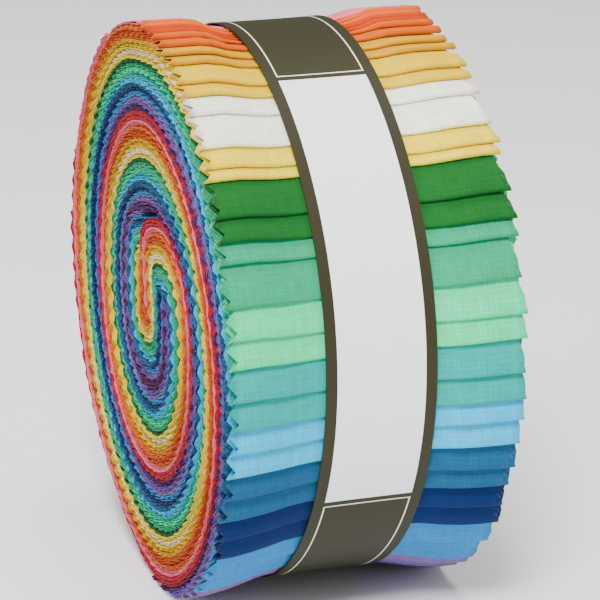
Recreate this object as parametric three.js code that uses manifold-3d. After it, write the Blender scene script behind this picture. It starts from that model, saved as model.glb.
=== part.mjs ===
// A roll of pinked cotton strips, each folded in half, wound together and held by a paper band.
// Millimetres, +Z up. The roll's axis lies along X and the origin is on the surface under its middle.
import * as THREE from "three";
import { mergeVertices } from "three/addons/utils/BufferGeometryUtils.js";
import Module from "manifold-3d";

// The strips: two and a half inches wide between the tips of their pinked teeth.
const STRIP_WIDTH = 63.5;
const TOOTH_DEPTH = 2.2;
const TEETH_ROUND = 84;

// The roll, its drawn-in waist and the flat spot on which it rests.
const ROLL_RADIUS = 62.5;
const WAIST_DRAW_IN = 2.4;
const WAIST_HALF_WIDTH = 13;
const FULL_FROM = 28;
const FLAT_SPOT_WIDTH = 16;
const PRESSED_FROM_FLAT = 8;

// One step of the rim: a folded strip's end over the next strip.
const FOLD_HEIGHT = 0.9;
const FOLD_NOSE = 1.1;
const FOLD_FOOT = 0.3;

// The turns show on both end faces as one spiral groove.
const GROOVE_HALF_WIDTH = 1.4;
const GROOVE_STEPS = 96;
const CURL_STEPS = 16;
const FACE_RIM_WIDTH = 2.2;

// The paper band, wrapped once and lapped at the back.
const BAND_WIDTH = 24;
const BAND_THICKNESS = 1;
const BAND_CLEARANCE = 0.35;
const BAND_SIDEWAYS = 0.4;
const BAND_STEPS = 72;
const LAP = { from: 238, to: 268, height: 0.5 };

// Where the folded ends show on the rim, in degrees from the top towards the front.
// Each cloth is cut into two strips, so each has two ends.
const FOLD_ENDS = [
  { cloth: "red", first: -92, second: -85 },
  { cloth: "hot pink", first: -70, second: -55 },
  { cloth: "pink", first: -28, second: -2 },
  { cloth: "salmon", first: 0.7, second: 3.3 },
  { cloth: "orange", first: 5.5, second: 7.7 },
  { cloth: "light orange", first: 10.4, second: 13.1 },
  { cloth: "gold", first: 16.7, second: 20 },
  { cloth: "light yellow", first: 26.8, second: 30.1 },
  { cloth: "white", first: 35.4, second: 41.4 },
  { cloth: "cream", first: 46.2, second: 49.1 },
  { cloth: "green", first: 56.2, second: 61.6 },
  { cloth: "sea mint", first: 65.2, second: 72.8 },
  { cloth: "light mint", first: 78.8, second: 83.8 },
  { cloth: "aqua", first: 90.3, second: 95.8 },
  { cloth: "light blue", first: 100.4, second: 105.5 },
  { cloth: "mid blue", first: 110.9, second: 115.9 },
  { cloth: "navy", first: 121.6, second: 127.7 },
  { cloth: "sky blue", first: 135.3, second: 144.6 },
  { cloth: "lilac", first: 150, second: 155 },
  { cloth: "purple", first: 160, second: 165 },
  { cloth: "plum", first: 170, second: 175 },
];

// The line between one turn and the next, from the hook in the core outwards.
const TURN_LINE = [
  { turned: 110, radius: 15.5 },
  { turned: 145, radius: 16.6 },
  { turned: 180, radius: 16.8 },
  { turned: 225, radius: 17.2 },
  { turned: 270, radius: 17.3 },
  { turned: 315, radius: 21 },
  { turned: 360, radius: 25.5 },
  { turned: 390, radius: 27.8 },
  { turned: 420, radius: 33.8 },
  { turned: 450, radius: 36 },
  { turned: 495, radius: 37.2 },
  { turned: 540, radius: 37.6 },
  { turned: 585, radius: 38.3 },
  { turned: 630, radius: 38 },
  { turned: 675, radius: 40.5 },
  { turned: 720, radius: 44.5 },
  { turned: 765, radius: 48.5 },
  { turned: 810, radius: 54.3 },
  { turned: 850, radius: 58.3 },
];

// The first cut ends curl inside that line: places on the end face, from the core up to the line.
const INNER_CURL = [
  { forward: -1.1, up: 0 },
  { forward: 0, up: 3.4 },
  { forward: 1.4, up: 6.8 },
  { forward: 0, up: 10.2 },
  { forward: -1.4, up: 13.6 },
  { forward: -0.6, up: 17 },
  { forward: 2.8, up: 20.4 },
  { forward: 6.2, up: 22.7 },
];

// Angles run from the top of the roll towards its front, which is -Y.
function around(angle, radius, x = 0) {
  const turn = THREE.MathUtils.degToRad(angle);
  return new THREE.Vector3(x, -radius * Math.sin(turn), radius * Math.cos(turn));
}

const flatHalfAngle = THREE.MathUtils.radToDeg(Math.asin(FLAT_SPOT_WIDTH / 2 / ROLL_RADIUS));
const floorHeight = -ROLL_RADIUS * Math.cos(THREE.MathUtils.degToRad(flatHalfAngle));

// The folds are pressed flat where the roll rests and loose elsewhere.
function looseness(angle) {
  const fromBottom = Math.abs(THREE.MathUtils.euclideanModulo(angle, 360) - 180);
  return THREE.MathUtils.smoothstep(fromBottom, flatHalfAngle, flatHalfAngle + PRESSED_FROM_FLAT);
}

// Corners of the stepped rim: how far each point lies below the roll's radius.
function rimCorners() {
  const ends = FOLD_ENDS.flatMap((row) => [row.first, row.second]);
  const corners = [];
  ends.forEach((end, i) => {
    const before = i > 0 ? ends[i - 1] : ends[ends.length - 1] - 360;
    const start = before + FOLD_FOOT;
    corners.push({ angle: start, drop: FOLD_HEIGHT });
    corners.push({ angle: Math.max(end - FOLD_NOSE, start + FOLD_NOSE / 2), drop: 0 });
    corners.push({ angle: end, drop: 0.4 * FOLD_HEIGHT });
  });
  return corners;
}

// The rim's outline: its corners and the tips and valleys of the pinked teeth.
function rimOutline() {
  const corners = rimCorners();
  const first = corners[0].angle;
  const closed = [...corners, { angle: first + 360, drop: corners[0].drop }];
  const halfTooth = 180 / TEETH_ROUND;
  const points = [];
  for (let i = 0; i < corners.length; i += 1) {
    const from = closed[i];
    const to = closed[i + 1];
    points.push(from);
    let step = Math.ceil((from.angle + FOLD_FOOT) / halfTooth);
    for (; step * halfTooth < to.angle - FOLD_FOOT; step += 1) {
      const share = (step * halfTooth - from.angle) / (to.angle - from.angle);
      const drop = THREE.MathUtils.lerp(from.drop, to.drop, share);
      points.push({ angle: step * halfTooth, drop });
    }
  }
  return points.map(({ angle, drop }) => {
    const wave = THREE.MathUtils.euclideanModulo(angle / halfTooth, 2);
    return { angle, drop: drop * looseness(angle), valley: 1 - Math.abs(1 - wave) };
  });
}

// How far the band draws the rim in at a distance from the middle.
function drawnIn(distance) {
  return WAIST_DRAW_IN * (1 - THREE.MathUtils.smoothstep(distance, WAIST_HALF_WIDTH, FULL_FROM));
}

// A closed mesh as a solid that can be cut.
const wasm = await Module();
wasm.setup();

function solidOf(geometry) {
  const bare = geometry.clone();
  bare.deleteAttribute("normal");
  bare.deleteAttribute("uv");
  const merged = mergeVertices(bare, 1e-4);
  return new wasm.Manifold(
    new wasm.Mesh({
      numProp: 3,
      vertProperties: merged.attributes.position.array,
      triVerts: new Uint32Array(merged.index.array),
    }),
  );
}

function geometryOf(solid) {
  const mesh = solid.getMesh();
  const geometry = new THREE.BufferGeometry();
  geometry.setAttribute("position", new THREE.BufferAttribute(mesh.vertProperties, 3));
  geometry.setIndex(new THREE.BufferAttribute(mesh.triVerts, 1));
  return geometry;
}

// The roll before its turns are cut: rings of the rim's outline along X, closed by two flat faces.
function rolledBody() {
  const outline = rimOutline();
  const tip = STRIP_WIDTH / 2;
  const face = tip - TOOTH_DEPTH / 2;
  const middle = (WAIST_HALF_WIDTH + FULL_FROM) / 2;
  const rimRing = (x, toothed) =>
    outline.map(({ angle, drop, valley }) => {
      const reach = Math.abs(x) - (toothed ? TOOTH_DEPTH * valley : 0);
      const point = around(angle, ROLL_RADIUS - drop - drawnIn(reach), Math.sign(x) * reach);
      point.z = Math.max(point.z, floorHeight);
      return point;
    });
  const faceRing = (x) =>
    outline.map(({ angle }) => around(angle, ROLL_RADIUS - FACE_RIM_WIDTH, x));
  const rings = [
    faceRing(-face),
    rimRing(-tip, true),
    rimRing(-FULL_FROM, false),
    rimRing(-middle, false),
    rimRing(-WAIST_HALF_WIDTH, false),
    rimRing(WAIST_HALF_WIDTH, false),
    rimRing(middle, false),
    rimRing(FULL_FROM, false),
    rimRing(tip, true),
    faceRing(face),
  ];
  const count = outline.length;
  const faces = [];
  for (let ring = 0; ring + 1 < rings.length; ring += 1) {
    for (let i = 0; i < count; i += 1) {
      const a = ring * count + i;
      const b = ring * count + ((i + 1) % count);
      faces.push([a, b, a + count], [b, b + count, a + count]);
    }
  }
  const flat = rings[0].map((point) => new THREE.Vector2(point.y, point.z));
  const last = (rings.length - 1) * count;
  for (const [a, b, c] of THREE.ShapeUtils.triangulateShape(flat, [])) {
    faces.push([a, c, b], [last + a, last + b, last + c]);
  }
  const geometry = new THREE.BufferGeometry().setFromPoints(rings.flat());
  geometry.setIndex(faces.flat());
  return geometry;
}

// A bar of diamond section along a line on one end face, for cutting a V groove.
function grooveCutter(points, steps) {
  const path = new THREE.CatmullRomCurve3(points, false, "centripetal");
  const half = GROOVE_HALF_WIDTH;
  const section = new THREE.Shape([
    new THREE.Vector2(half, 0),
    new THREE.Vector2(0, half),
    new THREE.Vector2(-half, 0),
    new THREE.Vector2(0, -half),
  ]);
  return new THREE.ExtrudeGeometry(section, { steps, extrudePath: path });
}

function stripRoll() {
  const face = STRIP_WIDTH / 2 - TOOTH_DEPTH / 2;
  let roll = solidOf(rolledBody());
  for (const x of [-face, face]) {
    const turns = TURN_LINE.map(({ turned, radius }) => around(turned, radius, x));
    const curl = INNER_CURL.map(({ forward, up }) => new THREE.Vector3(x, -forward, up));
    roll = roll.subtract(solidOf(grooveCutter(turns, GROOVE_STEPS)));
    roll = roll.subtract(solidOf(grooveCutter(curl, CURL_STEPS)));
  }
  const material = new THREE.MeshStandardMaterial({ color: 0x7fdcb4, roughness: 0.9 });
  const mesh = new THREE.Mesh(geometryOf(roll), material);
  mesh.name = "strip_roll";
  return mesh;
}

// The band's outline is a ring whose two ends lap over each other at the back.
function paperBand() {
  const inside = ROLL_RADIUS - WAIST_DRAW_IN + BAND_CLEARANCE;
  const ring = (radius, lap) =>
    Array.from({ length: BAND_STEPS }, (_, i) => {
      const angle = (i * 360) / BAND_STEPS;
      const lapped = angle >= LAP.from && angle <= LAP.to ? lap : 0;
      const point = around(angle, radius + lapped);
      return new THREE.Vector2(point.y, point.z);
    });
  const outline = new THREE.Shape(ring(inside + BAND_THICKNESS, LAP.height));
  outline.holes.push(new THREE.Path(ring(inside / Math.cos(Math.PI / BAND_STEPS), 0)));
  const geometry = new THREE.ExtrudeGeometry(outline, { depth: BAND_WIDTH, bevelEnabled: false });
  geometry.rotateX(Math.PI / 2);
  geometry.rotateZ(Math.PI / 2);
  geometry.translate(BAND_SIDEWAYS - BAND_WIDTH / 2, 0, 0);
  const material = new THREE.MeshStandardMaterial({ color: 0x4a4332, roughness: 0.6 });
  const mesh = new THREE.Mesh(geometry, material);
  mesh.name = "paper_band";
  return mesh;
}

const jellyRoll = new THREE.Group();
jellyRoll.add(stripRoll(), paperBand());
jellyRoll.position.z = -floorHeight;

export default jellyRoll;
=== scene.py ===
"""Dresses a roll of pinked cotton strips: the wound strips, their paper band and a plain studio."""

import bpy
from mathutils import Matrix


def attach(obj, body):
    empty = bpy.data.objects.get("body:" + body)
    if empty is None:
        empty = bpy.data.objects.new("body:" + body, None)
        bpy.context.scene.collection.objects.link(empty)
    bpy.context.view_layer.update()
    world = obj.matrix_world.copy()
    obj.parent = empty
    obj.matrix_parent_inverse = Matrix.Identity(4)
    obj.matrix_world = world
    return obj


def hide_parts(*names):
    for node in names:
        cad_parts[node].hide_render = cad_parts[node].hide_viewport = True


bl_info = {
    "name": "Jelly Roll Dresser",
    "version": (1, 0, 0),
    "blender": (4, 5, 0),
    "location": "3D View > Sidebar > Jelly Roll",
    "description": "Winds pinked cotton strips into a roll, bands it with paper and sets a studio",
    "category": "Object",
}

import math
from collections import namedtuple

import bmesh
import bpy
import numpy as np
from bpy.props import FloatProperty, FloatVectorProperty, IntProperty, PointerProperty
from mathutils import Matrix, Vector

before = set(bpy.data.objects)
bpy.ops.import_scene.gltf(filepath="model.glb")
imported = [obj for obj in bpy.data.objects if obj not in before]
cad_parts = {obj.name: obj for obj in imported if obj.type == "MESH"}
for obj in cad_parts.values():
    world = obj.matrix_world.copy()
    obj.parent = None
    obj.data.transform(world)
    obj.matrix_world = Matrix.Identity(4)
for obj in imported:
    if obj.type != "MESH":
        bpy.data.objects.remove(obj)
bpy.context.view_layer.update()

MM = 0.001

# Angles on the roll's end face go from its top towards its front, in degrees.
FULL_TURN = 360.0
TOP = 0.0
BOTTOM = 180.0

# Each cloth is cut into two strips. The angles say where the folded ends of the two show on
# the rim. The first cloth lies outermost.
Cloth = namedtuple("Cloth", "name dye first_end second_end")
CLOTHS = [
    Cloth("red", "#B0041A", -92.0, -85.0),
    Cloth("hot_pink", "#BC0C34", -70.0, -55.0),
    Cloth("pink", "#E66C86", -28.0, -4.5),
    Cloth("salmon", "#D85C1C", -1.5, 0.8),
    Cloth("orange", "#BE3C00", 2.6, 4.6),
    Cloth("light_orange", "#CE5C00", 6.8, 11.2),
    Cloth("gold", "#CE9800", 15.0, 18.4),
    Cloth("light_yellow", "#E0BA00", 24.8, 28.4),
    Cloth("white", "#F8F6E4", 33.2, 41.0),
    Cloth("cream", "#EACE20", 45.4, 47.9),
    Cloth("green", "#145E22", 55.6, 60.6),
    Cloth("sea_mint", "#0E9C6A", 64.4, 72.4),
    Cloth("light_mint", "#10D890", 78.8, 83.8),
    Cloth("aqua", "#04A096", 90.3, 95.8),
    Cloth("light_blue", "#12B2E0", 100.4, 105.5),
    Cloth("mid_blue", "#1A557C", 110.9, 115.9),
    Cloth("navy", "#08265A", 121.6, 127.7),
    Cloth("sky_blue", "#2C84C4", 135.3, 144.6),
    Cloth("lilac", "#8068A0", 150.0, 155.0),
    Cloth("purple", "#66449A", 160.0, 165.0),
    Cloth("plum", "#521949", 170.0, 175.0),
]
STRIPS = 2 * len(CLOTHS)
LAYERS = 2 * STRIPS

# The folded ends are on the roll's fourth turn, counted from the hook in its core.
LAST_TURN = 3 * FULL_TURN
FOLD_ENDS = [LAST_TURN + end for c in CLOTHS for end in (c.first_end, c.second_end)]

# The line between one turn and the next, from the hook in the core out to the rim.
TurnLine = namedtuple("TurnLine", "turned radius_mm")
TURN_LINE = [
    TurnLine(110, 16.3),
    TurnLine(145, 16.6),
    TurnLine(180, 16.8),
    TurnLine(225, 17.2),
    TurnLine(270, 17.3),
    TurnLine(315, 20.6),
    TurnLine(345, 21.8),
    TurnLine(360, 23.0),
    TurnLine(375, 25.3),
    TurnLine(390, 27.8),
    TurnLine(420, 33.8),
    TurnLine(450, 36.0),
    TurnLine(495, 37.2),
    TurnLine(540, 37.6),
    TurnLine(585, 38.3),
    TurnLine(630, 38.0),
    TurnLine(675, 40.5),
    TurnLine(720, 44.5),
    TurnLine(765, 48.5),
    TurnLine(810, 54.3),
    TurnLine(850, 58.1),
    TurnLine(870, 59.6),
    TurnLine(885, 61.2),
    TurnLine(895, 62.0),
    TurnLine(905, 62.4),
]

# The hooks in the core, inwards from the first full turn. Each row is a place on the end face
# and how far the stack's outermost or innermost layer lies from it at a bearing from the top.
Hook = namedtuple("Hook", "forward_mm up_mm bearing reach_mm from_inner")
HOOKS = [
    Hook(15.3, -5.6, 110, 20.1, True),
    Hook(15.3, -1.1, 90, 20.5, True),
    Hook(15.3, 1.2, 68, 20.3, True),
    Hook(15.3, 3.4, 45, 19.6, True),
    Hook(15.3, 3.4, 0, 20.4, True),
    Hook(14.6, 4.4, 311, 21.3, True),
    Hook(-1.2, 2.8, 90, 17.0, False),
    Hook(0.0, 1.5, 135, 17.9, False),
    Hook(0.0, 1.5, 180, 17.9, False),
    Hook(0.0, 1.5, 225, 17.9, False),
    Hook(2.6, 2.8, 270, 20.1, False),
    Hook(1.5, 5.0, 292, 19.1, False),
    Hook(0.0, 6.8, 315, 17.4, False),
    Hook(0.0, 6.8, 342, 16.6, False),
    Hook(0.0, 6.8, 4, 17.2, False),
]
HOOK_STARTS = 470.0

# How far the rim departs from a circle at the near and the far end: the roll is wound by hand
# and sags a little where it meets the floor.
Roundness = namedtuple("Roundness", "angle near_mm far_mm")
ROUNDNESS = [
    Roundness(0, 0.7, -0.3),
    Roundness(12, 0.45, -1.3),
    Roundness(25, 0.2, -0.8),
    Roundness(60, 0.0, 0.0),
    Roundness(110, 0.4, 0.0),
    Roundness(150, 0.0, 0.0),
    Roundness(172, -0.9, -0.1),
    Roundness(188, -2.8, -0.2),
    Roundness(205, -4.2, -0.8),
    Roundness(225, -2.5, -0.8),
    Roundness(245, -0.8, -0.4),
    Roundness(270, 0.4, 0.0),
    Roundness(305, -0.7, -0.3),
    Roundness(335, 0.2, 0.0),
    Roundness(360, 0.7, -0.3),
]

# Handling presses the folds, teeth and corners of the outermost strips nearly flat, to this
# share of their form.
OUTERMOST = 6
PRESSED = 0.3
WHOLE = 1.0

# How strips differ by chance: in shares of a tooth, millimetres, and degrees to a metre of width.
SEED = 7
TEETH_SLIP = 0.5
SIDEWAYS_MM = 0.35
SWAY_LEAST_MM = 0.1
SWAY_MOST_MM = 0.4
SWAY_LENGTH = 28 * MM
SKEW = 12.0
FRAY_MM = 0.35

# The rows of points round a strip's fold, as distances from it.
NOSE_MM = (-1.3, -0.9, -0.6, -0.3, 0.0, 0.3, 0.6, 0.9, 1.3)

# How far from the fold a strip's teeth have slipped out of line with its neighbours'.
SLIP_WITHIN = 45 * MM

# Between the layers the teeth bend over each other, and less of their depth shows.
PACKED_FROM = 15 * MM
PACKED_OVER = 14 * MM
PACKED_FLAT = 0.45

# By the fold the far edge is drawn to a slanting corner, with its teeth pulled nearly flat.
CORNER_TEETH = 0.2
CORNER_LENGTH = 10 * MM
CORNER_ENDS = 13 * MM
CORNER_BLEND = 9 * MM

# That corner slants by this many teeth's depth, and less on the lower front: it begins to
# lessen at one strip and goes on over some more.
SLANT = 1.1
SLANT_LOST = 0.8
SLANT_LESS_FROM = 20
SLANT_LESS_OVER = 10

# The folds are pressed together in the middle and stand open towards the roll's ends.
OPEN_FROM = 10 * MM
OPEN_OVER = 12 * MM
OPEN_IN_MIDDLE = 0.25

# The strips are cut finer where they lie within this of the rim.
RIM_DEPTH = 5 * MM

# The band starts at the back, goes once round and laps over its own start. Where it climbs onto
# itself is counted in laps back from its end, and so is how long the climb takes.
BAND_STARTS = math.radians(238.0)
BAND_LAP = math.radians(30.0)
CLIMB_FROM = 2.2
CLIMB_OVER = 1.2
BAND_ROWS = 260
BAND_COLUMNS = 8
BAND_CURL = 0.12 * MM
BAND_BOW = 1.1 * MM

WORLD_COLOUR = "#FFFFFF"
WORLD_LIGHT = 0.35
FLOOR_REACH = 4.0

# The lamps' places from the roll's centre, in metres, their sizes in metres and power in watts.
Lamp = namedtuple("Lamp", "name offset size power")
LAMPS = [
    Lamp("key_light", (-0.35, -0.75, 1.0), 0.34, 24.0),
    Lamp("fill_light", (0.95, -0.7, 0.3), 0.8, 5.0),
    Lamp("face_light", (-1.1, -0.35, 0.55), 0.7, 10.0),
    Lamp("top_light", (0.05, 0.15, 1.1), 0.6, 10.0),
]


def linear(hex_colour):
    """The linear colour of an sRGB hex value."""
    parts = [int(hex_colour[i : i + 2], 16) / 255 for i in (1, 3, 5)]
    return tuple(p / 12.92 if p <= 0.04045 else ((p + 0.055) / 1.055) ** 2.4 for p in parts)


def ramp(value, start, end):
    """A straight rise from 0 at start to 1 at end."""
    return np.clip((value - start) / (end - start), 0.0, 1.0)


def eased(share):
    """A smooth step from 0 to 1."""
    share = np.clip(share, 0.0, 1.0)
    return share * share * (3.0 - 2.0 * share)


def away_from(angle, centre):
    """How many degrees an angle lies from a centre, either way round."""
    return np.abs((angle - centre + FULL_TURN / 2) % FULL_TURN - FULL_TURN / 2)


def colour_property(name, hex_colour):
    """A colour that the user can change."""
    return FloatVectorProperty(
        name=name,
        description=f"Colour of the {name.lower()}",
        subtype="COLOR",
        size=3,
        min=0.0,
        max=1.0,
        default=linear(hex_colour),
    )


def length_property(name, description, default_mm):
    """A length that the user can change."""
    return FloatProperty(
        name=name,
        description=description,
        default=default_mm * MM,
        min=0.0,
        unit="LENGTH",
    )


def angle_property(name, description, default):
    """An angle that the user can change."""
    return FloatProperty(
        name=name,
        description=description,
        default=math.radians(default),
        subtype="ANGLE",
    )


class JellyRollStrips(bpy.types.PropertyGroup):
    """Sizes of the cut strips and of the roll they make."""

    width: length_property("Width", "Strip width between tooth tips", 63.5)
    length: length_property("Length", "Length of one cut strip with its selvages, unfolded", 1160.0)
    thickness: length_property("Thickness", "Thickness of the cotton", 0.17)
    tooth_pitch: length_property("Tooth Pitch", "Distance between the pinked teeth", 4.2)
    tooth_depth: length_property("Tooth Depth", "Depth of the pinked teeth", 1.8)
    thread_pitch: length_property("Thread Pitch", "Distance between threads of the weave", 0.42)
    roll_radius: length_property("Roll Radius", "Radius of the roll at its flared ends", 62.5)
    waist_draw_in: length_property("Waist", "How far the band draws the rim in", 2.4)
    waist_half_width: length_property("Waist Width", "Half the width drawn in by the band", 12.5)
    full_from: length_property("Full From", "Distance from the middle to the full radius", 29.0)
    flat_spot: length_property("Flat Spot", "Width of the spot on which the roll rests", 16.0)
    fold_puff: length_property("Fold Puff", "How far a folded end opens at the roll's ends", 1.15)
    columns: IntProperty(
        name="Columns", description="Faces across a strip where it shows", default=16, min=4
    )


class JellyRollBand(bpy.types.PropertyGroup):
    """Sizes and colours of the paper band."""

    width: length_property("Width", "Width of the band", 24.0)
    thickness: length_property("Thickness", "Thickness of the paper", 0.3)
    sideways: length_property("Sideways", "How far the band sits from the middle", 0.4)
    clearance: length_property("Clearance", "Gap between the strips and the paper", 0.3)
    lap_height: length_property("Lap Height", "Rise of the glued end over the other", 0.4)
    line_inset: length_property("Line Inset", "From the band's edge to its printed line", 2.4)
    line_width: length_property("Line Width", "Width of the printed line", 0.3)
    panel_from: angle_property(
        "Panel From", "Where the pale panel starts, from the top towards the front", 25.0
    )
    panel_to: angle_property(
        "Panel To", "Where the pale panel ends, from the top towards the front", 117.4
    )
    paper: colour_property("Paper", "#29270F")
    panel: colour_property("Panel", "#F1F1F4")
    line: colour_property("Printed Line", "#E8E4CE")


class JellyRollStudio(bpy.types.PropertyGroup):
    """The camera's place and the studio's floor."""

    azimuth: angle_property(
        "Azimuth", "Camera's turn from the roll's front towards its near end face", -18.54
    )
    elevation: angle_property("Elevation", "Camera's height above the horizon", 17.32)
    distance: length_property("Distance", "From the roll's centre to the camera", 663.1)
    lens: FloatProperty(name="Lens", description="Focal length in millimetres", default=179.9)
    aim_right: length_property("Aim Right", "Camera's shift to its right", 4.04)
    aim_down: length_property("Aim Down", "Camera's shift downwards", 0.74)
    floor: colour_property("Floor", "#F4F4F4")


class Winding:
    """Where each layer of the wound strips lies on the roll's end face, in metres."""

    # The middle of the outermost layer lies this far inside the roll's radius.
    RIM_INSET = 0.1 * MM

    # After the end of a strip, those below it rise over some degrees, and over more for each
    # strip in between. The pitch of the layers evens out over a longer way, within a range.
    RAMP = 4.5
    SPREAD = 1.3
    MIXED_SPREAD = 24.0
    PITCH_RANGE = (0.22 * MM, 0.31 * MM)

    # A layer's path has a point every so many degrees, and meets the hooks a little way before
    # they start.
    STEP = 1.5
    LEAD_IN = 15.0
    CURVE_STEPS = 10

    # The innermost layers pass all the hooks, and the outermost only the first few.
    FEWEST_HOOKS = 5.3
    MORE_HOOKS = 8.7
    DEPTH_OF_FEWEST = 0.03
    DEPTH_OVER = 0.3

    # The folds lag by some degrees at the near end, where the cloth has slipped.
    DROOP = 0.5
    DROOP_FROM = 22 * MM
    DROOP_OVER = 10 * MM
    DROOP_LENGTH = 12 * MM

    # On the lower front the band drags the folds along, in degrees, against the roll's ends.
    DRAG_RISES = (40.0, 100.0)
    DRAG_FADES = (200.0, 150.0)
    DRAG_AT_BAND = 0.8
    DRAG_LESS_AT_ENDS = 1.2

    # A fold stands open over this share of its free length, within limits.
    OPEN_SHARE = 0.55
    OPEN_LEAST = 1.6 * MM
    OPEN_MOST = 5.0 * MM

    # Over the top, where the folds crowd, the waist is shallower and the rim is full sooner.
    SHALLOWER = 0.5 * MM
    SHALLOWEST_AT = -15.0
    SHALLOWER_WITHIN = 70.0
    FULL_SOONER = 8.0 * MM
    SOONER_WITHIN = 60.0

    # How deep the waist and the flat spot press the layers, and how many degrees to each side of
    # the bottom the floor matters.
    DISTURBED = 12.0 * MM
    FLOOR_WITHIN = 60.0

    # On the front the far edges of the outer layers stand out a little more.
    FAR_BOW = 0.9 * MM
    FAR_BOW_TURNED = 28.0
    FAR_BOW_DEPTH = 8 * MM

    def __init__(self, strips):
        self.strips = strips
        self.radius = strips.roll_radius - self.RIM_INSET
        self.axis_height = math.sqrt(strips.roll_radius**2 - (strips.flat_spot / 2) ** 2)
        self.turns = np.array([row.turned for row in TURN_LINE], float)
        self.radii = np.array([row.radius_mm for row in TURN_LINE]) * MM
        self.slopes = np.gradient(self.radii, self.turns)

    def turn_line(self, turned):
        """The radius of the line between turns, as a smooth curve through its rows."""
        turned = np.clip(np.asarray(turned, float), self.turns[0], self.turns[-1])
        i = np.clip(np.searchsorted(self.turns, turned) - 1, 0, len(self.turns) - 2)
        gap = self.turns[i + 1] - self.turns[i]
        t = (turned - self.turns[i]) / gap
        start = (1 + 2 * t) * (1 - t) ** 2 * self.radii[i]
        start = start + t * (1 - t) ** 2 * gap * self.slopes[i]
        end = t * t * (3 - 2 * t) * self.radii[i + 1]
        end = end + t * t * (t - 1) * gap * self.slopes[i + 1]
        return np.minimum(start + end, self.radius)

    def layers_above(self, strip, turned):
        """How many layers of the stack still lie outside a strip."""
        above = np.zeros_like(turned)
        for outer in range(strip):
            spread = self.RAMP + self.SPREAD * (strip - outer - 1)
            start = FOLD_ENDS[outer] - (spread - self.RAMP) / 2
            above += 2 * (1 - eased((turned - start) / spread))
        return above

    def layers_left(self, turned):
        """How many layers of the stack have not yet ended."""
        half = self.MIXED_SPREAD / 2
        gone = [eased((turned - end + half) / self.MIXED_SPREAD) for end in FOLD_ENDS]
        return LAYERS - 2 * sum(gone)

    def layer_radius(self, strip, half, turned):
        """The radius of one half of a folded strip; half 0 lies outside half 1."""
        outside = self.turn_line(turned)
        inside = self.turn_line(turned - FULL_TURN)
        pitch = (outside - inside) / np.maximum(self.layers_left(turned), 1.0)
        ended = turned > FOLD_ENDS[0] - self.MIXED_SPREAD
        pitch = np.where(ended, np.clip(pitch, *self.PITCH_RANGE), pitch)
        return outside - pitch * (self.layers_above(strip, turned) + half + 0.5)

    def layer_places(self, strip, half, turned):
        """The places of one half of a folded strip: forwards and upwards from the axis."""
        radius = self.layer_radius(strip, half, turned)
        turn = np.radians(turned)
        return np.stack([radius * np.sin(turn), radius * np.cos(turn)], 1)

    def depth(self, strip, half):
        """How deep a layer lies in the stack: 0 at its outside, 1 at its inside."""
        return (2 * strip + half + 0.5) / LAYERS

    def hook_points(self, strip, half):
        """The layer's way through the hooks of the core, from the first full turn inwards."""
        depth = self.depth(strip, half)
        lead = np.array([HOOK_STARTS + 2 * self.LEAD_IN, HOOK_STARTS + self.LEAD_IN])
        points = list(self.layer_places(strip, half, lead))
        for hook in HOOKS:
            share = 1 - depth if hook.from_inner else depth
            bearing = math.radians(hook.bearing)
            reach = hook.reach_mm * share
            forward = hook.forward_mm + reach * math.sin(bearing)
            up = hook.up_mm + reach * math.cos(bearing)
            points.append(np.array([forward, up]) * MM)
        return np.array(points)

    def last_hook(self, strip, half):
        """How many hooks a layer passes: the outer layers have further to go and end sooner."""
        share = float(eased((self.depth(strip, half) - self.DEPTH_OF_FEWEST) / self.DEPTH_OVER))
        return self.FEWEST_HOOKS + self.MORE_HOOKS * share

    def path(self, strip, half):
        """A half strip's way from its folded end into the core: lengths and places."""
        last = HOOK_STARTS + self.LEAD_IN
        turned = np.append(np.arange(FOLD_ENDS[strip], last + 1.0, -self.STEP), last)
        wound = self.layer_places(strip, half, turned)
        knots = self.hook_points(strip, half)
        knots = np.vstack([knots, 2 * knots[-1] - knots[-2]])
        curve = []
        for i in range(1, len(knots) - 2):
            a, b, c, d = knots[i - 1 : i + 3]
            for t in np.arange(1, self.CURVE_STEPS + 1) / self.CURVE_STEPS:
                bend = (2 * a - 5 * b + 4 * c - d) * t**2 + (3 * b - a - 3 * c + d) * t**3
                curve.append(0.5 * (2 * b + (c - a) * t + bend))
        keep = int(round((self.last_hook(strip, half) + 1) * self.CURVE_STEPS))
        points = np.vstack([wound, np.array(curve[:keep])])
        steps = np.linalg.norm(np.diff(points, axis=0), axis=1)
        return np.concatenate([[0.0], np.cumsum(steps)]), points

    def waist_at(self, angle):
        """How far the band draws the rim in."""
        from_top = away_from(angle, self.SHALLOWEST_AT)
        shallower = self.SHALLOWER * (1 - eased(from_top / self.SHALLOWER_WITHIN))
        return self.strips.waist_draw_in - shallower

    def floor_at(self, angle, clear=0.0):
        """How far the floor, or a height clear of it, lies from the roll's axis."""
        from_bottom = np.minimum(away_from(angle, BOTTOM), self.FLOOR_WITHIN)
        return (self.axis_height - clear) / np.cos(np.radians(from_bottom))

    def fullness(self, x, full_from):
        """The share of the full radius' flare at a place across the roll: 0 under the band."""
        waist = self.strips.waist_half_width
        return eased((np.abs(x) - waist) / (full_from - waist))

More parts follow.
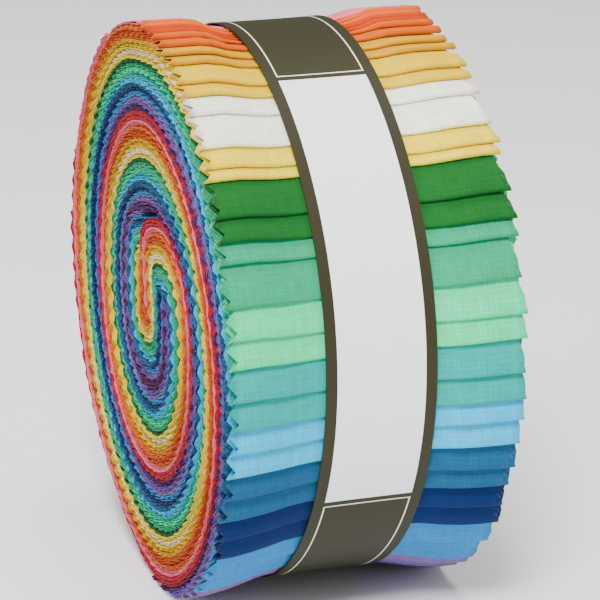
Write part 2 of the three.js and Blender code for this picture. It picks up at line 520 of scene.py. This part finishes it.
    def pressed_in(self, radius, angle, x):
        """How far the band, the floor and the hand winding press a point of the roll inwards."""
        s = self.strips
        sooner = self.FULL_SOONER * (1 - eased(away_from(angle, TOP) / self.SOONER_WITHIN))
        full = self.fullness(x, s.full_from - sooner)
        draw = self.waist_at(angle) * (1 - full)
        at = [row.angle for row in ROUNDNESS]
        near = np.interp(angle % FULL_TURN, at, [row.near_mm for row in ROUNDNESS])
        far = np.interp(angle % FULL_TURN, at, [row.far_mm for row in ROUNDNESS])
        sag = -full * (near + (far - near) * (x / s.width + 0.5)) * MM
        press = np.maximum(0.0, s.roll_radius - draw - sag - self.floor_at(angle))
        return (draw + sag + press) * ramp(radius, self.radius - self.DISTURBED, self.radius)

    def dragged(self, angle, x):
        """How many degrees the band drags the folds at a place on the rim."""
        front = angle % FULL_TURN
        share = ramp(front, *self.DRAG_RISES) * ramp(front, *self.DRAG_FADES)
        end = self.fullness(x, self.strips.full_from)
        return share * (self.DRAG_AT_BAND - self.DRAG_LESS_AT_ENDS * end)

    def drooped(self, beyond, x):
        """How many degrees a fold lags at the near end, less with the distance from it."""
        near = eased((-x - self.DROOP_FROM) / self.DROOP_OVER)
        return self.DROOP * near * np.exp(-beyond / self.DROOP_LENGTH)

    def bowed(self, radius, angle, x):
        """How far the far edge stands out along the axis."""
        front = np.clip(np.sin(np.radians(angle + self.FAR_BOW_TURNED)), 0.0, 1.0) ** 2
        far = np.clip(x / (self.strips.width / 2), 0.0, 1.0) ** 2
        return self.FAR_BOW * front * far * (radius > self.radius - self.FAR_BOW_DEPTH)

    def open_along(self, strip):
        """How far along a strip its fold stands open: less where the fold above it is near."""
        free = math.radians(FOLD_ENDS[strip] - FOLD_ENDS[max(strip - 1, 0)]) * self.radius
        return min(max(self.OPEN_SHARE * free, self.OPEN_LEAST), self.OPEN_MOST)

    def place(self, strip, paths, along, x, puff, skew):
        """The wound places of points at a distance along a strip from its fold and across it."""
        (outer_length, outer), (inner_length, inner) = paths
        gap = float(np.linalg.norm(outer[0] - inner[0])) + puff
        nose = math.pi / 4 * gap
        beyond = np.maximum(np.abs(along) - nose, 0.0)
        is_outer = along < 0
        forward, up = (
            np.where(
                is_outer,
                np.interp(beyond, outer_length, outer[:, axis]),
                np.interp(beyond, inner_length, inner[:, axis]),
            )
            for axis in (0, 1)
        )
        opened = puff * np.exp(-((beyond / self.open_along(strip)) ** 2))
        radius = np.hypot(forward, up) + np.where(is_outer, opened, 0.0)
        # the nose of the fold is half a circle that joins the two halves
        swing = np.clip(np.abs(along) / nose, 0.0, 1.0) * math.pi / 2
        on_nose = np.abs(along) < nose
        middle = np.linalg.norm(inner[0]) + gap / 2
        side = np.where(is_outer, 1.0, -1.0)
        radius = np.where(on_nose, middle + side * gap / 2 * np.sin(swing), radius)
        ahead = np.where(on_nose, gap / 2 * np.cos(swing), 0.0)
        angle = np.degrees(np.arctan2(forward, up))
        angle = angle + np.degrees(ahead / np.maximum(radius, MM)) + skew * x
        angle = angle + self.drooped(beyond, x)
        angle = angle + self.dragged(angle, x)
        radius = radius - self.pressed_in(radius, angle, x)
        radius = np.minimum(radius, self.floor_at(angle, self.strips.thickness))
        x = x + self.bowed(radius, angle, x)
        return self.on_roll(x, radius, np.radians(angle))

    def on_roll(self, x, radius, turn):
        """Points across the roll at a distance and a turn from its axis, as places in the frame."""
        return np.stack([x, -radius * np.sin(turn), radius * np.cos(turn) + self.axis_height], 1)


# A Mix node's sockets for colours, by number, because several of its sockets share a name.
COLOUR_A = 6
COLOUR_B = 7
MIXED_COLOUR = 2


def add_node(tree, kind, inputs=None, **settings):
    """Adds a node with its settings, and sets its inputs or links them.

    Inputs go by name or number. A node given for an input stands for its first output.
    """
    node = tree.nodes.new(kind)
    for name, value in settings.items():
        setattr(node, name, value)
    for name, value in (inputs or {}).items():
        if isinstance(value, bpy.types.Node):
            value = value.outputs[0]
        if isinstance(value, bpy.types.NodeSocket):
            tree.links.new(value, node.inputs[name])
        else:
            node.inputs[name].default_value = value
    return node


def new_material(name, finish):
    """A material with one principled shader and its surface's finish."""
    material = bpy.data.materials.new(name)
    material.use_nodes = True
    tree = material.node_tree
    tree.nodes.clear()
    shader = add_node(tree, "ShaderNodeBsdfPrincipled", finish)
    add_node(tree, "ShaderNodeOutputMaterial", {"Surface": shader})
    return material, tree, shader


def flat_place(tree):
    """The place on the flat cut, whole and as its parts across and along."""
    cut = add_node(tree, "ShaderNodeUVMap", uv_map="cut")
    split = add_node(tree, "ShaderNodeSeparateXYZ", {"Vector": cut})
    across = add_node(tree, "ShaderNodeMath", {0: split.outputs["X"]}, operation="ABSOLUTE")
    return cut, split, across


# How much a thread rises where it goes over another, and sinks where it goes under, as a share
# of its own height.
OVER_RISES = 0.3


def woven_height(tree, split, thread_pitch):
    """Threads that go over and under each other, as a height from 0 to about 1.

    The product of the two waves changes sign from one crossing to the next.
    """
    waves = []
    for axis in ("X", "Y"):
        turns = add_node(
            tree,
            "ShaderNodeMath",
            {0: split.outputs[axis], 1: math.pi / thread_pitch},
            operation="MULTIPLY",
        )
        waves.append(add_node(tree, "ShaderNodeMath", {0: turns}, operation="SINE"))
    weave = add_node(tree, "ShaderNodeMath", {0: waves[0], 1: waves[1]}, operation="MULTIPLY")
    crowns = add_node(tree, "ShaderNodeMath", {0: weave}, operation="ABSOLUTE")
    return add_node(
        tree, "ShaderNodeMath", {0: weave, 1: OVER_RISES, 2: crowns}, operation="MULTIPLY_ADD"
    )


# Unevenness of the cotton: how many threads, slubs or patches of dye there are to a metre of
# the flat cut, across and along, and the darkest and palest shade that they give.
Uneven = namedtuple("Uneven", "per_metre darkest palest")
UNEVEN = [
    Uneven((2400.0, 170.0, 1.0), 0.9, 1.08),
    Uneven((170.0, 2400.0, 1.0), 0.9, 1.08),
    Uneven((90.0, 90.0, 1.0), 0.96, 1.03),
]

# Nearly all values of the noise lie between these two.
NOISE_LOW = 0.3
NOISE_HIGH = 0.7

# Painted shade between the threads and painted light on their tops.
PAINTED_SHADE_BETWEEN_THREADS = 0.84
PAINTED_LIGHT_ON_THREADS = 1.08


def woven_shade_and_unevenness(tree, cut, height):
    """Painted shade and light on the weave, and the shade of threads thick and thin both ways and of
    slow unevenness of the dye.
    """
    # Painted shade and light from the woven height: darker between the threads, paler on top of
    # them.
    shade = add_node(
        tree,
        "ShaderNodeMapRange",
        {"Value": height, "To Min": PAINTED_SHADE_BETWEEN_THREADS, "To Max": PAINTED_LIGHT_ON_THREADS},
    )
    for row in UNEVEN:
        place = add_node(tree, "ShaderNodeMapping", {"Vector": cut, "Scale": row.per_metre})
        noise = add_node(
            tree, "ShaderNodeTexNoise", {"Vector": place, "Scale": 1.0, "Detail": 2.0}
        )
        uneven = add_node(
            tree,
            "ShaderNodeMapRange",
            {
                "Value": noise,
                "From Min": NOISE_LOW,
                "From Max": NOISE_HIGH,
                "To Min": row.darkest,
                "To Max": row.palest,
            },
        )
        shade = add_node(tree, "ShaderNodeMath", {0: shade, 1: uneven}, operation="MULTIPLY")
    return shade


# The cut edges are fluffy, with specks of pale lint, and darkened by painted shade between the
# teeth, which is warmer on pale cloth.
LINT = "#CEC8C5"
LINT_SPECKS = 1500.0
LINT_FROM = 0.5
LINT_FULL = 0.8
LINT_MOST = 0.12
LINT_AND_SHADE_FROM = 2.2 * MM
LINT_AND_SHADE_FULL = 1.0 * MM
EDGE_PAINTED_SHADE = 0.8
EDGE_SHADE_WARMER_ON_PALE = (0.06, 0.16, 0.36)


def lint_and_shaded_edge(tree, cut, across, half_width, dye, dyed):
    """The dyed cloth's colour with lint specks and painted shade at its cut edges, as a socket."""
    edge = add_node(
        tree,
        "ShaderNodeMapRange",
        {
            "Value": across,
            "From Min": half_width - LINT_AND_SHADE_FROM,
            "From Max": half_width - LINT_AND_SHADE_FULL,
        },
    )
    speck = add_node(tree, "ShaderNodeTexNoise", {"Vector": cut, "Scale": LINT_SPECKS})
    lint = add_node(
        tree,
        "ShaderNodeMapRange",
        {"Value": speck, "From Min": LINT_FROM, "From Max": LINT_FULL, "To Max": LINT_MOST},
    )
    fluff = add_node(tree, "ShaderNodeMath", {0: edge, 1: lint}, operation="MULTIPLY")
    # Painted shade at the cut edges: darker on every cloth, and warmer on pale cloth.
    pale = min(dye)
    tone = tuple(EDGE_PAINTED_SHADE - warmer * pale for warmer in EDGE_SHADE_WARMER_ON_PALE)
    painted_edge_shade = add_node(
        tree,
        "ShaderNodeMix",
        {"Factor": edge, COLOUR_A: dyed, COLOUR_B: (*tone, 1.0)},
        data_type="RGBA",
        blend_type="MULTIPLY",
    )
    linted = add_node(
        tree,
        "ShaderNodeMix",
        {
            "Factor": fluff,
            COLOUR_A: painted_edge_shade.outputs[MIXED_COLOUR],
            COLOUR_B: (*linear(LINT), 1.0),
        },
        data_type="RGBA",
    )
    return linted.outputs[MIXED_COLOUR]


def cotton_plain_weave(cloth, thread_pitch, half_width):
    """Piece-dyed quilting cotton, plain woven: matt, with fine square threads and faint slubs."""
    material, tree, shader = new_material(
        f"cotton_plain_weave_{cloth.name}",
        {
            "Roughness": 0.88,
            "Specular IOR Level": 0.12,
            "Sheen Weight": 0.03,
            "Sheen Roughness": 0.5,
        },
    )
    cut, split, across = flat_place(tree)
    height = woven_height(tree, split, thread_pitch)
    shade = woven_shade_and_unevenness(tree, cut, height)
    dye = linear(cloth.dye)
    dyed = add_node(tree, "ShaderNodeVectorMath", {0: dye, "Scale": shade}, operation="SCALE")
    colour = lint_and_shaded_edge(tree, cut, across, half_width, dye, dyed)
    tree.links.new(colour, shader.inputs["Base Color"])
    bump = add_node(
        tree, "ShaderNodeBump", {"Height": height, "Strength": 0.35, "Distance": 0.05 * MM}
    )
    tree.links.new(bump.outputs[0], shader.inputs["Normal"])
    return material


def between(tree, value, low, high):
    """A node that gives 1 where a value lies between two limits, and else 0."""
    above = add_node(tree, "ShaderNodeMath", {0: value, 1: low}, operation="GREATER_THAN")
    below = add_node(tree, "ShaderNodeMath", {0: value, 1: high}, operation="LESS_THAN")
    return add_node(tree, "ShaderNodeMath", {0: above, 1: below}, operation="MULTIPLY")


# The printed line keeps this angle from the panel's ends. Where it crosses the band, its width
# becomes an angle at this radius.
LINE_GAP = 1.2 * math.radians(1.0)
LINE_RADIUS = 60 * MM

# The grain of the paper: fibres to a metre, and the darkest and palest shade they give.
FIBRES = 1800.0
FIBRE_DARKEST = 0.93
FIBRE_PALEST = 1.05


def printed_parts(tree, band, half_width):
    """The band's pale panel and the thin line round its dark ends, as two nodes."""
    _, split, across = flat_place(tree)
    angle = split.outputs["Y"]
    start, end = band.panel_from, band.panel_to
    half_panel = half_width - band.line_inset
    thin = band.line_width / LINE_RADIUS
    in_width = between(tree, across, -1.0, half_panel)
    in_length = between(tree, angle, start, end)
    panel = add_node(tree, "ShaderNodeMath", {0: in_width, 1: in_length}, operation="MULTIPLY")
    beside = between(tree, across, half_panel - band.line_width, half_panel)
    near_panel = between(tree, angle, start - LINE_GAP, end + LINE_GAP)
    on_dark = add_node(tree, "ShaderNodeMath", {0: 1.0, 1: near_panel}, operation="SUBTRACT")
    sides = add_node(tree, "ShaderNodeMath", {0: beside, 1: on_dark}, operation="MULTIPLY")
    first = between(tree, angle, start - LINE_GAP - thin, start - LINE_GAP)
    last = between(tree, angle, end + LINE_GAP, end + LINE_GAP + thin)
    closing = add_node(tree, "ShaderNodeMath", {0: first, 1: last}, operation="ADD")
    ends = add_node(tree, "ShaderNodeMath", {0: closing, 1: in_width}, operation="MULTIPLY")
    lines = add_node(tree, "ShaderNodeMath", {0: sides, 1: ends}, operation="MAXIMUM")
    return panel, lines


def printed_paper(band, half_width):
    """Uncoated paper, printed dark round a bare pale panel: smooth, with a faint grain of fibres."""
    material, tree, shader = new_material(
        "printed_uncoated_paper", {"Roughness": 0.55, "Specular IOR Level": 0.25}
    )
    panel, lines = printed_parts(tree, band, half_width)
    papers = add_node(
        tree,
        "ShaderNodeMix",
        {"Factor": panel, COLOUR_A: (*band.paper, 1.0), COLOUR_B: (*band.panel, 1.0)},
        data_type="RGBA",
    )
    colour = add_node(
        tree,
        "ShaderNodeMix",
        {
            "Factor": lines,
            COLOUR_A: papers.outputs[MIXED_COLOUR],
            COLOUR_B: (*band.line, 1.0),
        },
        data_type="RGBA",
    )
    place = add_node(tree, "ShaderNodeTexCoord")
    grain = add_node(
        tree,
        "ShaderNodeTexNoise",
        {"Vector": place.outputs["Object"], "Scale": FIBRES, "Detail": 4.0},
    )
    tone = add_node(
        tree,
        "ShaderNodeMapRange",
        {"Value": grain, "To Min": FIBRE_DARKEST, "To Max": FIBRE_PALEST},
    )
    toned = add_node(
        tree,
        "ShaderNodeVectorMath",
        {0: colour.outputs[MIXED_COLOUR], "Scale": tone},
        operation="SCALE",
    )
    tree.links.new(toned.outputs[0], shader.inputs["Base Color"])
    bump = add_node(
        tree, "ShaderNodeBump", {"Height": grain, "Strength": 0.12, "Distance": 0.03 * MM}
    )
    tree.links.new(bump.outputs[0], shader.inputs["Normal"])
    return material


def link_piece(name, mesh, material):
    """A finished piece at the origin, riding on the roll's one body."""
    piece = bpy.data.objects.new(name, mesh)
    bpy.context.scene.collection.objects.link(piece)
    piece.data.materials.append(material)
    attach(piece, "root")
    return piece


def thicken(piece, name, thickness):
    """Gives a sheet its thickness, half of it to each side."""
    solid = piece.modifiers.new(name, "SOLIDIFY")
    solid.thickness = thickness
    solid.offset = 0.0


def to_mesh(bm, name):
    """A mesh from a bmesh, smooth but for its open edges."""
    for f in bm.faces:
        f.smooth = True
    for e in bm.edges:
        if len(e.link_faces) == 1:
            e.smooth = False
    mesh = bpy.data.meshes.new(name)
    bm.to_mesh(mesh)
    bm.free()
    return mesh


def save_flat_places(mesh, places):
    """Keeps each point's place on the flat cut as a UV map, for the material."""
    layer = mesh.uv_layers.new(name="cut")
    corners = np.empty(len(mesh.loops), np.int32)
    mesh.loops.foreach_get("vertex_index", corners)
    layer.data.foreach_set("uv", places[corners].astype(np.float32).ravel())


def read_places(mesh):
    """The places of a mesh's points, one row each."""
    flat = np.empty(len(mesh.vertices) * 3)
    mesh.vertices.foreach_get("co", flat)
    return flat.reshape(-1, 3)


def write_places(mesh, places):
    """Moves a mesh's points to the places given, one row each."""
    mesh.vertices.foreach_set("co", places.astype(np.float32).ravel())
    mesh.update()


# How one strip differs from its neighbours: the share of its folds and teeth that is left, how
# steep its far corner is, how its two halves slip and how its edges fray.
Cut = namedtuple("Cut", "form slant slips fray")


def cut_edge(strips, along, far, cut, row):
    """How far from a strip's middle its pinked edge lies, at the near or the far end."""
    half = strips.width / 2
    slip = cut.slips[0] if along < 0 else cut.slips[1]
    wave = (along / strips.tooth_pitch + slip * float(eased(abs(along) / SLIP_WITHIN))) % 1.0
    valley = 1 - abs(1 - 2 * wave)
    packed = float(eased((abs(along) - PACKED_FROM) / PACKED_OVER))
    depth = strips.tooth_depth * (1 - PACKED_FLAT * packed) * cut.form
    x = half - depth * valley - cut.fray[row, int(far)] * packed
    if not far:
        return x
    slanting = cut.slant * min(abs(along) / CORNER_LENGTH, 1.0)
    corner = half - strips.tooth_depth * (CORNER_TEETH * valley + slanting)
    blend = float(eased((abs(along) - CORNER_ENDS) / CORNER_BLEND))
    return corner + (x - corner) * blend


def cut_strip(strips, stations, shown, cut):
    """A flat strip with pinked edges, finer across where it will show.

    Its halves slip along the stack as they are wound, so their teeth drift from the fold's.
    """
    bm = bmesh.new()
    bmesh.ops.create_grid(bm, x_segments=1, y_segments=len(stations) - 1, size=1.0)
    row_of = {}
    for v in bm.verts:
        row = int(round((v.co.y + 1) / 2 * (len(stations) - 1)))
        row_of[v] = row
        x = cut_edge(strips, stations[row], v.co.x > 0, cut, row)
        v.co = (math.copysign(x, v.co.x), stations[row], 0.0)
    across = [
        e
        for e in bm.edges
        if row_of[e.verts[0]] == row_of[e.verts[1]]
        and -shown[0] <= stations[row_of[e.verts[0]]] <= shown[1]
    ]
    bmesh.ops.subdivide_edges(bm, edges=across, cuts=strips.columns - 1, use_grid_fill=True)
    return to_mesh(bm, "strip")


def stations_along(strips, paths):
    """Distances from the fold at which a strip has a row of points, four to each tooth."""
    ends = [min(lengths[-1], strips.length / 2) for lengths, _ in paths]
    half_tooth = strips.tooth_pitch / 2
    steps = np.arange(1, int(strips.length / half_tooth) + 1) * half_tooth / 2
    steps = steps[steps > NOSE_MM[-1] * MM]
    outer = -steps[steps < ends[0]][::-1]
    inner = steps[steps < ends[1]]
    return np.concatenate([outer, np.array(NOSE_MM) * MM, inner])


def shown_lengths(winding, paths):
    """How far from the fold each half of a strip still lies close to the rim."""
    shown = []
    for lengths, points in paths:
        near_rim = np.hypot(points[:, 0], points[:, 1]) > winding.radius - RIM_DEPTH
        shown.append(float(lengths[near_rim].max()))
    return shown


def wound_strip(winding, strip, rng):
    """One strip, cut flat, then folded and wound with small slips of its own."""
    strips = winding.strips
    slips = rng.uniform(-TEETH_SLIP, TEETH_SLIP, 2)
    sideways = rng.uniform(-SIDEWAYS_MM, SIDEWAYS_MM) * MM
    sway = rng.uniform(SWAY_LEAST_MM, SWAY_MOST_MM) * MM
    sway_from = rng.uniform(0.0, 2 * math.pi)
    skew = rng.uniform(-SKEW, SKEW)
    paths = [winding.path(strip, half) for half in (0, 1)]
    stations = stations_along(strips, paths)
    fray = rng.uniform(0.0, FRAY_MM, (len(stations), 2)) * MM
    if strip < OUTERMOST:
        cut = Cut(PRESSED, PRESSED, slips, fray)
    else:
        lessened = float(eased((strip - SLANT_LESS_FROM) / SLANT_LESS_OVER))
        cut = Cut(WHOLE, SLANT - SLANT_LOST * lessened, slips, fray)
    mesh = cut_strip(strips, stations, shown_lengths(winding, paths), cut)
    flat = read_places(mesh)
    save_flat_places(mesh, flat[:, :2])
    across, along = flat[:, 0], flat[:, 1]
    x = across + sideways + sway * np.sin(along / SWAY_LENGTH + sway_from)
    free = eased((np.abs(across) - OPEN_FROM) / OPEN_OVER)
    puff = strips.fold_puff * (OPEN_IN_MIDDLE + (1 - OPEN_IN_MIDDLE) * free) * cut.form
    write_places(mesh, winding.place(strip, paths, along, x, puff, skew))
    return mesh


class JELLYROLL_OT_strips(bpy.types.Operator):
    """Cut, fold and wind every strip of cotton"""

    bl_idname = "jelly_roll.strips"
    bl_label = "Wind Strips"

    def execute(self, context):
        strips = context.scene.jelly_roll_strips
        winding = Winding(strips)
        materials = {
            c.name: cotton_plain_weave(c, strips.thread_pitch, strips.width / 2) for c in CLOTHS
        }
        rng = np.random.default_rng(SEED)
        for strip in range(STRIPS):
            cloth = CLOTHS[strip // 2]
            mesh = wound_strip(winding, strip, rng)
            mesh.name = f"strip_{cloth.name}_{strip % 2 + 1}"
            piece = link_piece(mesh.name, mesh, materials[cloth.name])
            thicken(piece, "cloth", strips.thickness)
            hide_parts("strip_roll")
        return {"FINISHED"}


class JELLYROLL_OT_band(bpy.types.Operator):
    """Wrap the paper band round the waist and lap its ends at the back"""

    bl_idname = "jelly_roll.band"
    bl_label = "Wrap Band"

    def execute(self, context):
        band = context.scene.jelly_roll_band
        winding = Winding(context.scene.jelly_roll_strips)
        mesh = self.cut_band(band)
        flat = read_places(mesh)
        across, along = flat[:, 0], flat[:, 1]
        turned = along + BAND_STARTS
        save_flat_places(mesh, np.stack([across, turned - 2 * math.pi], 1))
        radius = self.wrapped_radius(winding, band, across, along)
        x = across + band.sideways + BAND_BOW * np.sin(turned) ** 3
        write_places(mesh, winding.on_roll(x, radius, turned))
        piece = link_piece("paper_band_wrap", mesh, printed_paper(band, band.width / 2))
        thicken(piece, "paper", band.thickness)
        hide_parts("paper_band")
        return {"FINISHED"}

    def cut_band(self, band):
        """The band as a flat grid, across in metres and along as an angle from its start."""
        bm = bmesh.new()
        bmesh.ops.create_grid(bm, x_segments=BAND_COLUMNS, y_segments=BAND_ROWS, size=1.0)
        around = 2 * math.pi + BAND_LAP
        for v in bm.verts:
            v.co = (v.co.x * band.width / 2, (v.co.y + 1) / 2 * around, 0.0)
        return to_mesh(bm, "paper_band_wrap")

    def wrapped_radius(self, winding, band, across, along):
        """The paper's radius: it lies on the waist, laps over its start and curls at its edges."""
        climb_starts = 2 * math.pi + BAND_LAP - CLIMB_FROM * BAND_LAP
        climb = np.clip((along - climb_starts) / (CLIMB_OVER * BAND_LAP), 0.0, 1.0)
        curl = BAND_CURL * (np.abs(across) / (band.width / 2)) ** 3
        waist_draw_in = winding.waist_at(np.degrees(along + BAND_STARTS))
        waist = winding.strips.roll_radius - waist_draw_in
        return waist + band.clearance + band.thickness / 2 + band.lap_height * climb + curl


class JELLYROLL_OT_studio(bpy.types.Operator):
    """Set the pale floor, the soft lights and the camera"""

    bl_idname = "jelly_roll.studio"
    bl_label = "Set Studio"

    def execute(self, context):
        studio = context.scene.jelly_roll_studio
        winding = Winding(context.scene.jelly_roll_strips)
        centre = Vector((0.0, 0.0, winding.axis_height))
        self.add_camera(context, studio, centre)
        self.add_floor(context, studio)
        self.add_lights(context, centre)
        return {"FINISHED"}

    def add_camera(self, context, studio, centre):
        """The camera at the photograph's viewing angle."""
        a, e = studio.azimuth, studio.elevation
        back = Vector((math.sin(a) * math.cos(e), -math.cos(a) * math.cos(e), math.sin(e)))
        right = Vector((math.cos(a), math.sin(a), 0.0))
        up = back.cross(right)
        data = bpy.data.cameras.new("camera")
        data.lens = studio.lens
        data.clip_start = 0.01
        data.clip_end = 20.0
        camera = bpy.data.objects.new("camera", data)
        context.scene.collection.objects.link(camera)
        place = centre + back * studio.distance + right * studio.aim_right - up * studio.aim_down
        turn = Matrix((right, up, back)).transposed().to_4x4()
        camera.matrix_world = Matrix.Translation(place) @ turn
        context.scene.camera = camera

    def add_floor(self, context, studio):
        """A sheet of backdrop paper: matt, pale and even."""
        bm = bmesh.new()
        bmesh.ops.create_grid(bm, x_segments=1, y_segments=1, size=FLOOR_REACH)
        mesh = bpy.data.meshes.new("floor")
        bm.to_mesh(mesh)
        bm.free()
        floor = bpy.data.objects.new("floor", mesh)
        context.scene.collection.objects.link(floor)
        material, _, _ = new_material(
            "matt_paper_backdrop",
            {
                "Base Color": (*studio.floor, 1.0),
                "Roughness": 0.9,
                "Specular IOR Level": 0.1,
            },
        )
        floor.data.materials.append(material)

    def add_lights(self, context, centre):
        """A white surround and four soft lamps that face the roll."""
        world = bpy.data.worlds.new("studio")
        world.use_nodes = True
        background = world.node_tree.nodes["Background"]
        background.inputs["Color"].default_value = (*linear(WORLD_COLOUR), 1.0)
        background.inputs["Strength"].default_value = WORLD_LIGHT
        context.scene.world = world
        for row in LAMPS:
            data = bpy.data.lights.new(row.name, "AREA")
            data.size = row.size
            data.energy = row.power
            lamp = bpy.data.objects.new(row.name, data)
            context.scene.collection.objects.link(lamp)
            offset = Vector(row.offset)
            lamp.location = centre + offset
            lamp.rotation_euler = (-offset).to_track_quat("-Z", "Y").to_euler()


class JELLYROLL_PT_panel(bpy.types.Panel):
    """Lists the roll's sizes and colours and the steps that build it"""

    bl_label = "Jelly Roll"
    bl_idname = "JELLYROLL_PT_panel"
    bl_space_type = "VIEW_3D"
    bl_region_type = "UI"
    bl_category = "Jelly Roll"

    def draw(self, context):
        for group in GROUPS:
            settings = getattr(context.scene, group)
            box = self.layout.box()
            for name in settings.bl_rna.properties.keys():
                if name not in {"rna_type", "name"}:
                    box.prop(settings, name)
        for operator in OPERATORS:
            self.layout.operator(operator.bl_idname)


OPERATORS = (JELLYROLL_OT_studio, JELLYROLL_OT_strips, JELLYROLL_OT_band)
GROUPS = {
    "jelly_roll_strips": JellyRollStrips,
    "jelly_roll_band": JellyRollBand,
    "jelly_roll_studio": JellyRollStudio,
}


def register():
    """Adds the settings, the steps and the panel to Blender."""
    for group in GROUPS.values():
        bpy.utils.register_class(group)
    for operator in OPERATORS:
        bpy.utils.register_class(operator)
    bpy.utils.register_class(JELLYROLL_PT_panel)
    for name, group in GROUPS.items():
        setattr(bpy.types.Scene, name, PointerProperty(type=group))


def unregister():
    """Takes away what register added."""
    for name in GROUPS:
        delattr(bpy.types.Scene, name)
    bpy.utils.unregister_class(JELLYROLL_PT_panel)
    for operator in reversed(OPERATORS):
        bpy.utils.unregister_class(operator)
    for group in reversed(list(GROUPS.values())):
        bpy.utils.unregister_class(group)


def main():
    """Builds the studio, the strips and the band."""
    register()
    bpy.ops.jelly_roll.studio()
    bpy.ops.jelly_roll.strips()
    bpy.ops.jelly_roll.band()


if __name__ == "__main__":
    main()
